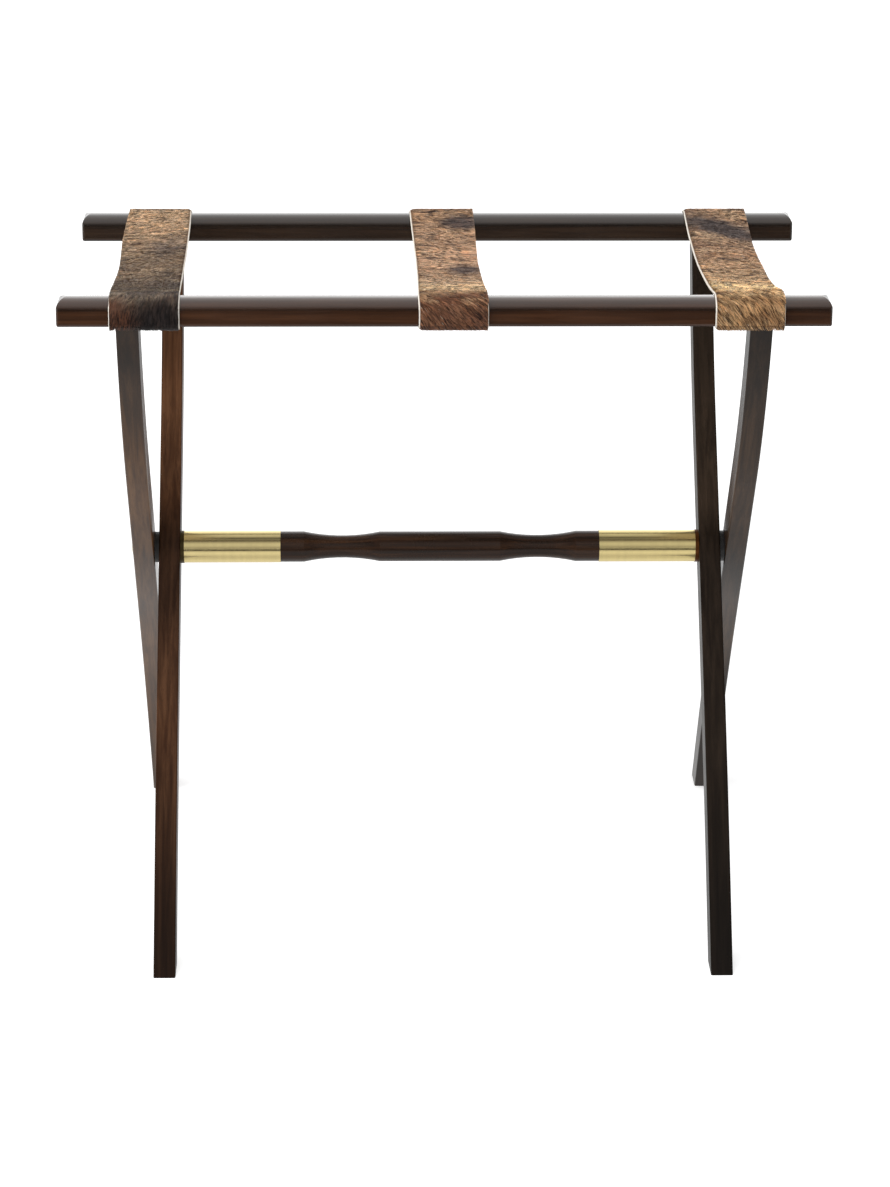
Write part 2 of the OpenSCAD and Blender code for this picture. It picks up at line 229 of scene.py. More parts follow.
def lacquered_wood(name, turn, stain, gloss, shine, coat, painted_shade_by_height=None):
    """Dark stained wood under lacquer, its grain along the piece. coat is a weight, or stops by height.
    Further stops by height can darken its colour as painted shade.
    """
    deep, middle, warm = (colour(*shade) for shade in stain)
    material, tree, shader = new_material(name)
    place = node(tree, "TexCoord").outputs["Object"]
    along = node(tree, "Mapping", {"Vector": place, "Rotation": turn}).outputs[0]
    grain = use_group(tree, STRAIGHT_GRAIN, {"Place": along, "Figure width": 1.0, "Pore depth": 0.5})
    figure = ramp(tree, grain["Figure"], [(0.0, deep), (0.5, middle), (1.0, warm)])
    pored = blended(tree, maths(tree, "MULTIPLY", grain["Pores"], 0.45), figure, deep)
    rubbed = use_group(tree, RUBBED_EDGES, {"Place": place, "Reach": 0.0022, "Patchiness": 60.0})
    wear_and_painted_shade = blended(tree, maths(tree, "MULTIPLY", rubbed["Rubbed"], 0.25), pored, warm)
    # Painted shade: the rubbed stain is darkened by height through the given stops.
    if painted_shade_by_height:
        wear_and_painted_shade = blended(tree, 1.0, wear_and_painted_shade, by_height(tree, place, painted_shade_by_height), "MULTIPLY")
    polish = use_group(tree, UNEVEN_POLISH, {
        "Place": along, "Size": 14.0, "Low": gloss[0], "High": gloss[1],
    })
    bump = node(tree, "Bump", {"Height": grain["Height"], "Strength": 0.12, "Distance": 0.0004})
    coat_weight = by_height(tree, place, coat) if isinstance(coat, list) else coat
    feed(tree, shader, {
        "Base Color": wear_and_painted_shade, "Roughness": polish["Roughness"], "Normal": bump.outputs[0],
        "Specular IOR Level": shine, "Coat Weight": coat_weight, "Coat Roughness": 0.1, "Coat IOR": 1.55,
    })
    return material


def turned_brass(name, left_colour_as_lit, right_colour_as_lit, gloss):
    """Brass with the fine rings that a lathe leaves round X. Each end of the stretcher has its own colour,
    which on the dark collars is painted shade.
    """
    material, tree, shader = new_material(name)
    place = node(tree, "TexCoord").outputs["Object"]
    rings = node(tree, "Mapping", {"Vector": place, "Scale": (2600, 40, 40)})
    lines = node(tree, "TexNoise", {"Vector": rings.outputs[0], "Scale": 1.0, "Detail": 3.0})
    bands = node(tree, "Mapping", {"Vector": place, "Scale": (240, 12, 12)})
    toned = node(tree, "TexNoise", {"Vector": bands.outputs[0], "Scale": 1.0, "Detail": 3.0})
    end = step_between(tree, node(tree, "SeparateXYZ", {0: place}).outputs[0], -0.1, 0.1)
    bright = blended(tree, end, colour(*left_colour_as_lit), colour(*right_colour_as_lit))
    aged = blended(tree, 1.0, bright, grey(0.74), "MULTIPLY")
    shade = blended(tree, step_between(tree, toned.outputs["Fac"], 0.3, 0.7, 0.16, 0.0), bright, aged)
    polish = use_group(tree, UNEVEN_POLISH, {
        "Place": place, "Size": 60.0, "Low": gloss[0], "High": gloss[1],
    })
    tarnish = blended(tree, maths(tree, "MULTIPLY", polish["Mask"], 0.1), shade, aged)
    bump = node(tree, "Bump", {"Height": lines.outputs["Fac"], "Strength": 0.12, "Distance": 0.00008})
    feed(tree, shader, {
        "Base Color": tarnish, "Roughness": polish["Roughness"], "Normal": bump.outputs[0], "Metallic": 1.0,
    })
    return material


def moulded_plastic(name):
    """Black moulded plastic with a fine even texture."""
    material, tree, shader = new_material(name)
    place = node(tree, "TexCoord").outputs["Object"]
    fine = node(tree, "TexNoise", {"Vector": place, "Scale": 1400.0, "Detail": 2.0})
    polish = use_group(tree, UNEVEN_POLISH, {"Place": place, "Size": 90.0, "Low": 0.38, "High": 0.56})
    shade = ramp(tree, polish["Mask"], [(0.0, colour(20, 19, 19)), (1.0, colour(30, 29, 29))])
    bump = node(tree, "Bump", {"Height": fine.outputs["Fac"], "Strength": 0.2, "Distance": 0.0001})
    feed(tree, shader, {"Base Color": shade, "Roughness": polish["Roughness"], "Normal": bump.outputs[0]})
    return material


def plated_steel(name):
    """Bright steel of tacks and screws, dulled in places."""
    material, tree, shader = new_material(name)
    place = node(tree, "TexCoord").outputs["Object"]
    polish = use_group(tree, UNEVEN_POLISH, {"Place": place, "Size": 320.0, "Low": 0.24, "High": 0.5})
    shade = ramp(tree, polish["Mask"], [(0.0, colour(176, 172, 165)), (1.0, colour(128, 122, 114))])
    feed(tree, shader, {"Base Color": shade, "Roughness": polish["Roughness"], "Metallic": 1.0})
    return material


# Brindled hide

def patch_group():
    """One soft-edged oval patch in the coat, placed in the strap's flat plane."""
    group, given, result = new_group(
        "Coat patch",
        [("Flat place", "Vector"), ("Middle", "Vector"), ("Half size", "Vector"), ("Turn", "Vector"),
         ("Ragged", "Vector")],
        [("Mask", "Float")],
    )
    moved = node(group, "VectorMath", {0: given["Flat place"], 1: given["Ragged"]}, operation="ADD")
    shaped = node(group, "Mapping", {
        "Vector": moved.outputs[0], "Location": given["Middle"], "Rotation": given["Turn"],
        "Scale": given["Half size"],
    }, vector_type="TEXTURE")
    reach = node(group, "VectorMath", {0: shaped.outputs[0]}, operation="LENGTH")
    group.links.new(step_between(group, reach.outputs["Value"], 1.35, 0.45), result["Mask"])
    return group


def brindle_group():
    """The stripes of a brindled coat: broad bands, streaks along the hair and ragged edges."""
    group, given, result = new_group(
        "Brindle",
        [("Flat place", "Vector"), ("Hair lean", "Vector")],
        [("Bands", "Float"), ("Streaks", "Float"), ("Ragged", "Vector")],
    )
    combed = node(group, "Mapping", {"Vector": given["Flat place"], "Rotation": given["Hair lean"]})
    wide = node(group, "Mapping", {"Vector": given["Flat place"], "Scale": (28, 75, 60)})
    bands = node(group, "TexNoise", {
        "Vector": wide.outputs[0], "Scale": 1.0, "Detail": 5.0, "Roughness": 0.62, "Distortion": 0.5,
    })
    long = node(group, "Mapping", {"Vector": combed.outputs[0], "Scale": (420, 60, 60)})
    streaks = node(group, "TexNoise", {
        "Vector": long.outputs[0], "Scale": 1.0, "Detail": 4.0, "Roughness": 0.6, "Distortion": 0.25,
    })
    edge = node(group, "TexNoise", {
        "Vector": given["Flat place"], "Scale": 95.0, "Detail": 5.0, "Roughness": 0.65,
    })
    centred = node(group, "VectorMath", {
        0: edge.outputs["Color"], 1: (0.5, 0.5, 0.5),
    }, operation="SUBTRACT")
    ragged = node(group, "VectorMath", {0: centred.outputs[0], "Scale": 0.022}, operation="SCALE")
    group.links.new(step_between(group, bands.outputs["Fac"], 0.3, 0.7), result["Bands"])
    group.links.new(step_between(group, streaks.outputs["Fac"], 0.32, 0.68), result["Streaks"])
    group.links.new(ragged.outputs[0], result["Ragged"])
    return group


COAT_PATCH = patch_group()
BRINDLE = brindle_group()


def coat_colour(tree, strap):
    """The colour of a strap's coat at a hair's root, and the three values that each hair carries.

    They are its tone, the place along its length and whether it is a pale one. On the hide itself the second
    says where its back is and the third where it is bare.
    """
    root = node(tree, "Attribute", attribute_name="root", attribute_type="GEOMETRY")
    strand = node(tree, "Attribute", attribute_name="strand", attribute_type="GEOMETRY")
    own = node(tree, "SeparateXYZ", {0: strand.outputs["Vector"]})
    tone, tip, pale = own.outputs
    flat = node(tree, "SeparateXYZ", {0: root.outputs["Vector"]})
    shifted = node(tree, "VectorMath", {
        0: root.outputs["Vector"], 1: (0, 0, strap["seed"]),
    }, operation="ADD")
    place = shifted.outputs[0]
    coat = use_group(tree, BRINDLE, {
        "Flat place": place, "Hair lean": (0, 0, strap["lean"]),
    })
    wander = maths(tree, "MULTIPLY_ADD", coat["Bands"], 0.05, -0.025)
    along = maths(tree, "ADD", maths(tree, "DIVIDE", flat.outputs[1], ROUTE_LENGTH), wander)
    shade = ramp(tree, along, strap["ground"])
    beyond_drop = step_between(tree, along, 0.1, 0.2, strap["drop_bands"], strap["band_light"])
    bright = blended(tree, maths(tree, "MULTIPLY", coat["Bands"], beyond_drop), shade, strap["light"])
    low_bands = maths(tree, "SUBTRACT", 1.0, coat["Bands"])
    shade = blended(tree, maths(tree, "MULTIPLY", low_bands, strap["band_dark"]), bright, strap["dark"])
    for patch in strap["patches"]:
        mask = use_group(tree, COAT_PATCH, {
            "Flat place": root.outputs["Vector"], "Ragged": coat["Ragged"],
            "Middle": (patch["middle"][0], patch["middle"][1], 0),
            "Half size": (patch["half"][0], patch["half"][1], 1),
            "Turn": (0, 0, math.radians(patch["turn"])),
        })["Mask"]
        shade = blended(tree, maths(tree, "MULTIPLY", mask, patch["strength"]), shade, patch["shade"])
    streaks = maths(tree, "MULTIPLY", coat["Streaks"], 0.4)
    streaked = blended(tree, streaks, shade, strap["light"], "SOFT_LIGHT")
    return streaked, tone, tip, pale


def hair_finish(strap):
    """Glossy short hair, darker at its root and paler at its tip."""
    material, tree, shader = new_material("brindled_hair_" + strap["name"])
    shade, tone, tip, pale = coat_colour(tree, strap)
    darker = blended(tree, 1.0, shade, (*strap["dark_share"], 1), "MULTIPLY")
    brighter = blended(tree, 1.0, shade, (*strap["light_share"], 1), "MULTIPLY")
    toned = blended(tree, tone, darker, brighter)
    rooted = blended(tree, step_between(tree, tip, 0.0, 0.6, 0.4, 0.0), toned, strap["root"])
    flecked = blended(tree, maths(tree, "MULTIPLY", pale, 0.8), rooted, strap["pale"])
    rough = maths(tree, "MULTIPLY_ADD", tone, 0.14, 0.4)
    feed(tree, shader, {"Base Color": flecked, "Roughness": rough, "Specular IOR Level": 0.45})
    return material


def hide_finish(strap):
    """The hide's face under the hair, darkened to half the coat's colour as painted shade between the hairs,
    its pale cut edges and its suede back.
    """
    material, tree, shader = new_material("brindled_hide_" + strap["name"])
    shade, _, back_side, bare = coat_colour(tree, strap)
    # Painted shade: the hide under the hair is half the coat's colour so the gaps between hairs look dark.
    hide_face_painted_shade = blended(tree, 1.0, shade, grey(0.5), "MULTIPLY")
    place = node(tree, "TexCoord").outputs["Object"]
    nap = node(tree, "TexNoise", {"Vector": place, "Scale": 900.0, "Detail": 4.0, "Roughness": 0.7})
    cloud = node(tree, "TexNoise", {"Vector": place, "Scale": 70.0, "Detail": 4.0})
    clouded = maths(tree, "MULTIPLY", cloud.outputs["Fac"], 0.55)
    brushed = maths(tree, "MULTIPLY_ADD", nap.outputs["Fac"], 0.45, clouded)
    suede = ramp(tree, brushed, [(0.3, colour(186, 168, 146)), (0.7, colour(232, 220, 202))])
    cut = ramp(tree, nap.outputs["Fac"], [(0.3, colour(226, 214, 196)), (0.65, colour(250, 246, 238))])
    back = blended(tree, back_side, cut, suede)
    wear_and_painted_shade = blended(tree, bare, hide_face_painted_shade, back)
    bump = node(tree, "Bump", {"Height": nap.outputs["Fac"], "Strength": 0.5, "Distance": 0.0004})
    rough = step_between(tree, nap.outputs["Fac"], 0.2, 0.8, 0.75, 0.95)
    feed(tree, shader, {
        "Base Color": wear_and_painted_shade, "Roughness": rough, "Normal": bump.outputs[0], "Specular IOR Level": 0.25,
    })
    return material


def strap_route():
    """The straps' middle line, front end to rear end: its length so far, Y, Z and the outward direction.

    The front half is drawn in millimetres from the front rail's middle line and underside, then mirrored.
    """
    rail_half, rail_side, lower_round, off = 18, 16, 3, 2
    crown_middle, crown_round = -3.643, 28.643
    crown_start, crown_end = 132.5, 81.87
    leave_u, leave_v, span_half = 4.054, 24.712, 149.946
    rail_place = 154
    points = []

    def arc(cu, cv, r, start, end):
        for a in np.radians(np.linspace(start, end, 33)):
            points.append((cu + r * math.cos(a), cv + r * math.sin(a), math.cos(a), math.sin(a)))

    for u in np.linspace(-4, lower_round - rail_half, 7):
        points.append((u, -off, 0, -1))
    arc(lower_round - rail_half, lower_round, lower_round + off, 270, 180)
    for v in np.linspace(lower_round, rail_side, 8):
        points.append((-rail_half - off, v, -1, 0))
    arc(-rail_half, rail_side, off, 180, crown_start)
    arc(0, crown_middle, crown_round, crown_start, crown_end)
    slope = math.tan(math.radians(90 - crown_end))
    for run in np.linspace(0, span_half, 60):
        y = span_half - run
        steep = slope * y / span_half
        size = math.hypot(steep, 1)
        sunk = slope * (span_half ** 2 - y ** 2) / (2 * span_half)
        points.append((leave_u + run, leave_v - sunk, steep / size, 1 / size))
    front = np.array(points)
    front[:, 0] -= rail_place
    rear = front[::-1].copy()
    rear[:, 0] *= -1
    rear[:, 2] *= -1
    line = np.vstack([front, rear[1:]])
    keep = np.r_[True, np.hypot(*np.diff(line[:, :2], axis=0).T) > 1e-6]
    line = line[keep]
    so_far = np.r_[0, np.cumsum(np.hypot(*np.diff(line[:, :2], axis=0).T))]
    return so_far * MM, line[:, 0] * MM, line[:, 1] * MM + RAIL_UNDER, line[:, 2], line[:, 3]


ROUTE = strap_route()
ROUTE_LENGTH = float(ROUTE[0][-1])
DROP_END = 0.011 + 0.005 * math.pi / 2  # the length of the part under the rail and its quarter turn
DROP_SHOWN = 0.042  # how far along the route the front drop and the bend over the rail reach
FREE_HALF = 0.146  # half the length that hangs free between the rails
WAVE = 0.0006  # how high the hide's gentle waves are
FLAT_WIDTH = 0.06
HIDE_THICK = 0.0018
HIDE_LOW = -0.0017  # the height of the hide's underside over the route
BARE_EDGE = 0.0015  # the width of the cut edge without hair
EASED_EDGE = 0.0005


def edge_line(places):
    """A strap's edge: X at each millimetre of the route, through places given as (Y, X) in millimetres."""
    along = np.arange(0, ROUTE_LENGTH, MM)
    y = np.interp(along, ROUTE[0], ROUTE[1])
    known = np.array(places, float) * MM
    x = np.interp(y, known[:, 0], known[:, 1])
    reach = 15
    window = np.hanning(2 * reach + 1)
    padded = np.r_[np.full(reach, x[0]), x, np.full(reach, x[-1])]
    return along, np.convolve(padded, window / window.sum(), "valid")


def wrapped(strap, across, along, height):
    """Where a point of the flat strap lies once the strap is over the rails. across runs from 0 to 1."""
    y = np.interp(along, ROUTE[0], ROUTE[1])
    z = np.interp(along, ROUTE[0], ROUTE[2])
    ny = np.interp(along, ROUTE[0], ROUTE[3])
    nz = np.interp(along, ROUTE[0], ROUTE[4])
    left = np.interp(along, *strap["left_line"])
    right = np.interp(along, *strap["right_line"])
    x = left + (right - left) * across
    more = (strap["sag_left"] + (strap["sag_right"] - strap["sag_left"]) * across) * MM
    in_span = np.clip(1 - (y / FREE_HALF) ** 2, 0, 1)
    waves = WAVE * np.sin(across * 5.1 + along * 31 + strap["seed"]) * in_span
    return np.stack([x, y + ny * height, z + nz * height - more * in_span ** 1.3 + waves], -1)


def bend_with_frames(piece):
    """The piece's placing is baked into its mesh."""
    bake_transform(piece)


def cut_across(made, place, facing):
    """New edges where a plane crosses the flat strap."""
    bmesh.ops.bisect_plane(
        made, geom=made.verts[:] + made.edges[:] + made.faces[:], dist=1e-7, plane_co=place, plane_no=facing,
    )


def flat_x(strap, x, along):
    """Where a millimetre of the rack's X lies across the flat strap at one place along it."""
    left = float(np.interp(along, *strap["left_line"]))
    right = float(np.interp(along, *strap["right_line"]))
    return ((x * MM - left) / (right - left) - 0.5) * FLAT_WIDTH


def write_vectors(mesh, name, values):
    """One named vector on each of a mesh's points."""
    made = mesh.attributes.new(name, "FLOAT_VECTOR", "POINT")
    made.data.foreach_set("vector", np.asarray(values, np.float32).ravel())


def hide_strip(strap):
    """A strap's hide: a flat strip notched for the legs, made thick, its edges eased, laid over the rails.

    Its back and its cut edges are bare.
    """
    made = bmesh.new()
    bmesh.ops.create_grid(made, x_segments=16, y_segments=200, size=0.5)
    bmesh.ops.scale(made, vec=(FLAT_WIDTH, ROUTE_LENGTH, 1), verts=made.verts)
    bmesh.ops.translate(made, vec=(0, ROUTE_LENGTH / 2, 0), verts=made.verts)
    for side in (-1, 1):
        cut_across(made, (side * (FLAT_WIDTH / 2 - BARE_EDGE), 0, 0), (1, 0, 0))
    for low, high, start, end in strap["notches"]:
        middle = (start + end) / 2
        low, high = flat_x(strap, low, middle), flat_x(strap, high, middle)
        for x in (low, high):
            cut_across(made, (x, 0, 0), (1, 0, 0))
        for y in (start, end):
            cut_across(made, (0, y, 0), (0, 1, 0))
        gone = [
            f for f in made.faces
            if low < f.calc_center_median().x < high and start < f.calc_center_median().y < end
        ]
        bmesh.ops.delete(made, geom=gone, context="FACES")
    bmesh.ops.recalc_face_normals(made, faces=made.faces)
    if sum(f.normal.z for f in made.faces) < 0:
        bmesh.ops.reverse_faces(made, faces=made.faces)
    bmesh.ops.solidify(made, geom=made.faces[:], thickness=HIDE_THICK)
    heights = [v.co.z for v in made.verts]
    bmesh.ops.translate(made, vec=(0, 0, -min(heights)), verts=made.verts)
    rim = [
        e for e in made.edges
        if all(v.co.z > HIDE_THICK * 0.9 for v in e.verts)
        and any(abs(f.normal.z) < 0.5 for f in e.link_faces)
    ]
    bmesh.ops.bevel(
        made, geom=rim, affect="EDGES", offset=EASED_EDGE, segments=2, profile=0.5, material=-1)
    bmesh.ops.recalc_face_normals(made, faces=made.faces)
    mesh = bpy.data.meshes.new("hide_strip_" + strap["name"])
    made.to_mesh(mesh)
    made.free()
    flat = np.array([v.co for v in mesh.vertices])
    across, along = flat[:, 0] / FLAT_WIDTH + 0.5, flat[:, 1]
    placed = wrapped(strap, across, along, HIDE_LOW + flat[:, 2])
    mesh.vertices.foreach_set("co", placed.ravel())
    from_edge = FLAT_WIDTH / 2 - np.abs(flat[:, 0])
    back = flat[:, 2] < HIDE_THICK * 0.1
    bare = back | (from_edge < BARE_EDGE * 0.5) | (flat[:, 2] < HIDE_THICK * 0.93)
    write_vectors(mesh, "root", np.stack([flat[:, 0], along, np.zeros(len(flat))], 1))
    write_vectors(mesh, "strand", np.stack([np.full(len(flat), 0.35), back, bare], 1))
    for face in mesh.polygons:
        face.use_smooth = True
    mesh.materials.append(strap["hide"])
    piece = in_scene("hide_strip_" + strap["name"], mesh)
    bend_with_frames(piece)
    return piece


def slow_waves(x, y, seed):
    """A gentle uneven field from -1 to 1 over the flat strap, the same on every run."""
    rng = np.random.default_rng(seed)
    total = np.zeros_like(x)
    for _ in range(5):
        ax, ay = rng.normal(0, 95, 2)
        total += np.sin(ax * x + ay * y + rng.uniform(0, 6.28))
    return total / 3.2


LOCK_OFFSETS = 4096
LOCK_TONES = 65536


def strand_cells(across, along, lean, seed, wide, long):
    """A tone from 0 to 1 and a pull towards a middle line, shared by the hairs of one lock of the coat.

    Two primes scatter the tones of locks that lie side by side.
    """
    rng = np.random.default_rng(seed)
    side = across * np.cos(lean) + along * np.sin(lean)
    length = along * np.cos(lean) - across * np.sin(lean)
    column = np.floor(side / wide).astype(int)
    offset = rng.random(LOCK_OFFSETS)[column % LOCK_OFFSETS]
    row = np.floor(length / long + offset * 3).astype(int)
    tones = rng.random(LOCK_TONES)
    key = (column * 7919 + row * 104729) % LOCK_TONES
    middle = (column + 0.5) * wide - side
    return tones[key], middle


def within_edges(x, along):
    """Hairs that reach past a cut edge are held back to it. On the front drop they leave it bare."""
    on_drop = along < DROP_SHOWN
    edge = FLAT_WIDTH / 2 - np.where(on_drop, 0.0009, 0.0003)
    overreach = np.where(on_drop, 0.0003, 0.0006)
    past = np.maximum(np.abs(x) - edge, 0)
    return np.sign(x) * (np.minimum(np.abs(x), edge) + overreach * np.tanh(past / 0.0018))


# How wide and long the locks are that share a tone, on the front drop and beyond it, and the broader tufts
LOCK_ON_DROP = (0.0007, 0.0046)
LOCK_BEYOND = (0.0009, 0.0072)
TUFT = (0.0026, 0.013)
HAIR_COLUMNS = 62
HAIR_ROWS = 580
HAIR_INSET = 0.0007  # how far from the flat strap's edge the outermost hairs are rooted
HAIR_WIDTHS = (0.00016, 0.00034)
LENGTH_SPREAD = (0.6, 1.3)
LIFT_SPREAD = (0.35, 1.25)
TURN_SPREAD = 0.05  # how much each hair's own lean and curl vary, in radians
LOCK_PULL = 0.22  # how far a lock's hairs draw together towards its middle line
ROOT_DEPTH = 0.0001  # how deep hairs are rooted in the hide
NOTCH_ROOM = (0.0006, 0.001)  # how far hairs are rooted from a notch, across and along the strap
PAST_DROP = 0.012  # how far beyond the drop's bend its finer locks go on
# A hair's levels, from root to tip, each with its place along the hair and its share of the hair's width
HAIR_LEVELS = ((0.0, 0.8), (0.38, 1.0), (0.74, 0.7), (1.0, 0.0))
HAIR_POINTS = 7
# The corners of its two four-sided faces and its three-sided tip, and where each face's corners start
HAIR_CORNERS = (0, 1, 3, 2, 2, 3, 5, 4, 4, 5, 6)
HAIR_FACE_STARTS = (0, 4, 8)


def combed_hair(strap, batch):
    """One layer of a strap's coat: tapered hairs that lie along its lean and follow the strap's bends."""
    rng = np.random.default_rng(strap["seed"] * 100 + batch)
    cell = np.stack(np.meshgrid(np.arange(HAIR_COLUMNS), np.arange(HAIR_ROWS)), -1).reshape(-1, 2)
    jitter = rng.random(cell.shape)
    x = (cell[:, 0] + jitter[:, 0]) / HAIR_COLUMNS
    s = (cell[:, 1] + jitter[:, 1]) / HAIR_ROWS * ROUTE_LENGTH
    inset = HAIR_INSET / FLAT_WIDTH
    x = inset + x * (1 - 2 * inset)
    flat = (x - 0.5) * FLAT_WIDTH
    keep = np.ones(len(x), bool)
    for low, high, start, end in strap["notches"]:
        middle = (start + end) / 2
        low, high = flat_x(strap, low, middle), flat_x(strap, high, middle)
        aside, ahead = NOTCH_ROOM
        beside = (flat > low - aside) & (flat < high + aside)
        keep &= ~(beside & (s > start - ahead) & (s < end + ahead))
    x, s, flat = x[keep], s[keep], flat[keep]
    count = len(x)
    share = s / ROUTE_LENGTH
    lean = np.radians(np.interp(share, *np.array(strap["hair_lean"]).T))
    lean = lean + 0.13 * slow_waves(flat, s, strap["seed"] + 3)
    shown_drop = s < DROP_SHOWN + PAST_DROP
    wide, long = (np.where(shown_drop, *sizes) for sizes in zip(LOCK_ON_DROP, LOCK_BEYOND))
    tone_of_lock, pull = strand_cells(flat, s, lean, strap["seed"] + 11, wide, long)
    tone_of_tuft, _ = strand_cells(flat, s, lean, strap["seed"] + 12, *TUFT)
    lean = lean + rng.normal(0, TURN_SPREAD, count)
    length = MM * np.interp(share, *np.array(strap["hair_length"]).T) * rng.uniform(*LENGTH_SPREAD, count)
    front_drop = s >= DROP_END
    over = DROP_END - (s - length * np.cos(lean))
    allowed = rng.uniform(0.0005, 0.0017, count)
    too_far = front_drop & (over > allowed)
    length = np.where(too_far, np.maximum(s - DROP_END + allowed, 0.0012) / np.cos(lean), length)
    lift = MM * np.interp(share, *np.array(strap["hair_lift"]).T) * rng.uniform(*LIFT_SPREAD, count)
    width = rng.uniform(*HAIR_WIDTHS, count)
    roll = rng.normal(0, 0.5, count)
    curl = rng.normal(0, TURN_SPREAD, count)
    points = []
    for t, thick in HAIR_LEVELS:
        turned = lean + curl * t
        fx = within_edges(flat + np.sin(turned) * length * t + pull * LOCK_PULL * t, s)
        fs = s - np.cos(turned) * length * t
        rise = HIDE_LOW + HIDE_THICK - ROOT_DEPTH + lift * np.sin(t * 1.9) / 0.95
        side_x, side_s = np.cos(turned), np.sin(turned)
        half = width * thick / 2
        for end in ((-1, 1) if thick else (0,)):
            px = fx + end * half * side_x * np.cos(roll)
            ps = fs + end * half * side_s * np.cos(roll)
            ph = rise + end * half * np.sin(roll)
            hanging = np.where(front_drop, np.minimum(ps - DROP_END, 0), 0)
            held = np.where(front_drop, np.maximum(ps, DROP_END), ps)
            place = wrapped(strap, px / FLAT_WIDTH + 0.5, held, ph)
            place[:, 2] += hanging
            points.append(place)
    places = np.stack(points, 1)
    mesh = bpy.data.meshes.new("hair_%s_%d" % (strap["name"], batch))
    first = np.arange(count)[:, None] * HAIR_POINTS
    corners = first + np.array(HAIR_CORNERS)
    starts = np.arange(count)[:, None] * len(HAIR_CORNERS) + np.array(HAIR_FACE_STARTS)
    mesh.vertices.add(count * HAIR_POINTS)
    mesh.vertices.foreach_set("co", places.ravel())
    mesh.loops.add(corners.size)
    mesh.loops.foreach_set("vertex_index", corners.ravel())
    mesh.polygons.add(starts.size)
    mesh.polygons.foreach_set("loop_start", starts.ravel())
    mesh.polygons.foreach_set("use_smooth", np.ones(starts.size, bool))
    mesh.update(calc_edges=True)
    own_share = np.where(shown_drop, 0.34, 0.18)
    contrast = np.where(shown_drop, 2.3, 1.8)
    tone = (0.92 - own_share) * tone_of_lock + 0.08 * tone_of_tuft + own_share * rng.random(count)
    tone = np.clip(0.5 + contrast * (tone - 0.5), 0, 1)
    pale = rng.random(count) < strap["pale_share"]
    tips = np.repeat([t for t, _ in HAIR_LEVELS], [2 if thick else 1 for _, thick in HAIR_LEVELS])
    root = np.stack([flat, s, np.zeros(count)], 1)
    write_vectors(mesh, "root", np.repeat(root, HAIR_POINTS, 0))
    write_vectors(mesh, "strand", np.stack(
        [np.repeat(tone, HAIR_POINTS), np.tile(tips, count), np.repeat(pale, HAIR_POINTS)], 1))
    mesh.materials.append(strap["hair"])
    piece = in_scene(mesh.name, mesh)
    root = np.repeat(wrapped(strap, x, s, 0.0), HAIR_POINTS, 0)
    bend_with_frames(piece)
    return piece


NOTCH = 0.0155  # how much of a strap's end a leg's top takes up
LEG_ROOM = 10.05  # half the width of a strap's notch, in millimetres
